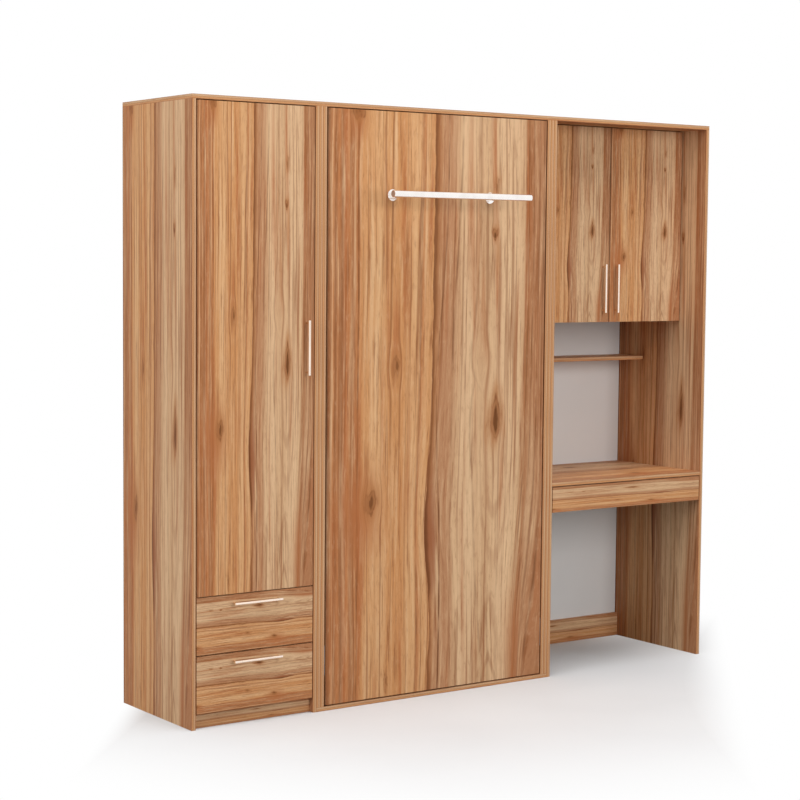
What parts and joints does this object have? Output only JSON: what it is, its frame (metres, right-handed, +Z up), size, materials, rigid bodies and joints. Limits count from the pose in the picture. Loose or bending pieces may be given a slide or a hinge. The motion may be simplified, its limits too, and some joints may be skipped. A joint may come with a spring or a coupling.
{
  "type": "wall bed",
  "caption": "Vertical folding wall bed with a mattress on a steel frame, set between a wardrobe with drawers and a desk with a shelf and an overhead cabinet.",
  "frame": {"origin": "on the floor, under the bed module's bottom board, halfway along the whole unit and halfway through the depth of its boards (514 mm, without the thin back panels)", "axes": "+X to the right along the wall, seen by someone facing the unit, +Y into the wall, +Z up"},
  "size_m": [2.424, 0.6675, 2.2],
  "materials": {
    "carcass_board": "satin wood-decor board",
    "front_board": "satin wood-decor board",
    "drawer_board": "pale grey coated board",
    "back_board": "light grey coated thin board",
    "slat_wood": "bare birch, lightly lacquered",
    "bar_metal": "bright satin metal",
    "rail_chrome": "polished",
    "fitting_steel": "nickel-plated",
    "frame_steel": "grey powder coat",
    "strut_black": "black enamel",
    "strut_chrome": "polished",
    "stop_rubber": "matt",
    "mattress_cloth": "woven ticking",
    "strap_webbing": "woven webbing"
  },
  "bodies": {
    "wall_unit": {"top_panel": "carcass_board", "wardrobe_left_side": "carcass_board", "wardrobe_right_side": "carcass_board", "wardrobe_bottom_board": "carcass_board", "wardrobe_plinth": "carcass_board", "wardrobe_divider": "carcass_board", "wardrobe_shelf": "carcass_board", "bed_left_upright": "carcass_board", "bed_right_upright": "carcass_board", "bed_bottom_board": "carcass_board", "bed_wall_rails": "carcass_board", "desk_left_side": "carcass_board", "desk_right_side": "carcass_board", "overhead_bottom_board": "carcass_board", "overhead_shelf": "carcass_board", "niche_shelf": "carcass_board", "desk_top": "carcass_board", "desk_back_rail": "carcass_board", "wardrobe_back_panel": "back_board", "bed_back_panel": "back_board", "desk_back_panel": "back_board", "hanging_rail": "rail_chrome", "hinge_arms": "fitting_steel", "runner_channels": "fitting_steel", "pivot_brackets": "fitting_steel", "strut_brackets": "fitting_steel", "bed_stops": "stop_rubber"},
    "bed": {"bed_front_panel": "front_board", "bed_frame_side_rails": "frame_steel", "bed_frame_end_rails": "frame_steel", "bed_slats": "slat_wood", "mattress": "mattress_cloth", "mattress_straps": "strap_webbing", "foot_bar": "bar_metal", "foot_bar_posts": "bar_metal"},
    "strut_cylinder_pair": {"strut_cylinders": "strut_black"},
    "strut_rod_pair": {"strut_rods": "strut_chrome"},
    "tall_door": {"wardrobe_door": "front_board", "wardrobe_door_handle": "bar_metal", "wardrobe_door_hinge_cups": "fitting_steel"},
    "upper_drawer": {"upper_drawer_front": "front_board", "upper_drawer_box": "drawer_board", "upper_drawer_bottom": "drawer_board", "upper_drawer_handle": "bar_metal", "upper_drawer_runners": "fitting_steel"},
    "lower_drawer": {"lower_drawer_front": "front_board", "lower_drawer_box": "drawer_board", "lower_drawer_bottom": "drawer_board", "lower_drawer_handle": "bar_metal", "lower_drawer_runners": "fitting_steel"},
    "desk_drawer": {"desk_drawer_front": "front_board", "desk_drawer_box": "drawer_board", "desk_drawer_bottom": "drawer_board", "desk_drawer_runners": "fitting_steel"},
    "left_overhead_door": {"overhead_left_door": "front_board", "overhead_left_door_handle": "bar_metal", "overhead_left_door_hinge_cups": "fitting_steel"},
    "right_overhead_door": {"overhead_right_door": "front_board", "overhead_right_door_handle": "bar_metal", "overhead_right_door_hinge_cups": "fitting_steel"}
  },
  "joints": [
    {"name": "bed_fold", "type": "hinge", "parent": "wall_unit", "child": "bed", "pos_m": [-0.156, -0.223, 0.185], "axis": [1, 0, 0], "range_deg": [0, 90]},
    {"name": "strut_swing", "type": "hinge", "parent": "wall_unit", "child": "strut_cylinder_pair", "pos_m": [-0.156, -0.107, 0.72], "axis": [1, 0, 0], "range_deg": [0, 6.93]},
    {"name": "strut_slide", "type": "slide", "parent": "strut_cylinder_pair", "child": "strut_rod_pair", "axis": [0, 0.1322, 0.9912], "range_m": [0, 0.1458]},
    {"name": "wardrobe_door_swing", "type": "hinge", "parent": "wall_unit", "child": "tall_door", "pos_m": [-1.1925, -0.257, 1.324], "axis": [0, 0, -1], "range_deg": [0, 100]},
    {"name": "upper_drawer_slide", "type": "slide", "parent": "wall_unit", "child": "upper_drawer", "axis": [0, -1, 0], "range_m": [0, 0.4]},
    {"name": "lower_drawer_slide", "type": "slide", "parent": "wall_unit", "child": "lower_drawer", "axis": [0, -1, 0], "range_m": [0, 0.4]},
    {"name": "desk_drawer_slide", "type": "slide", "parent": "wall_unit", "child": "desk_drawer", "axis": [0, -1, 0], "range_m": [0, 0.35]},
    {"name": "overhead_left_swing", "type": "hinge", "parent": "wall_unit", "child": "left_overhead_door", "pos_m": [0.4035, -0.12, 1.788], "axis": [0, 0, -1], "range_deg": [0, 90]},
    {"name": "overhead_right_swing", "type": "hinge", "parent": "wall_unit", "child": "right_overhead_door", "pos_m": [1.1925, -0.12, 1.788], "axis": [0, 0, 1], "range_deg": [0, 90]}
  ],
  "couplings": [
    {"joint": "strut_swing", "follows": "bed_fold", "ratio": 0.076824},
    {"joint": "strut_slide", "follows": "bed_fold", "m_per_rad": 0.092738}
  ]
}
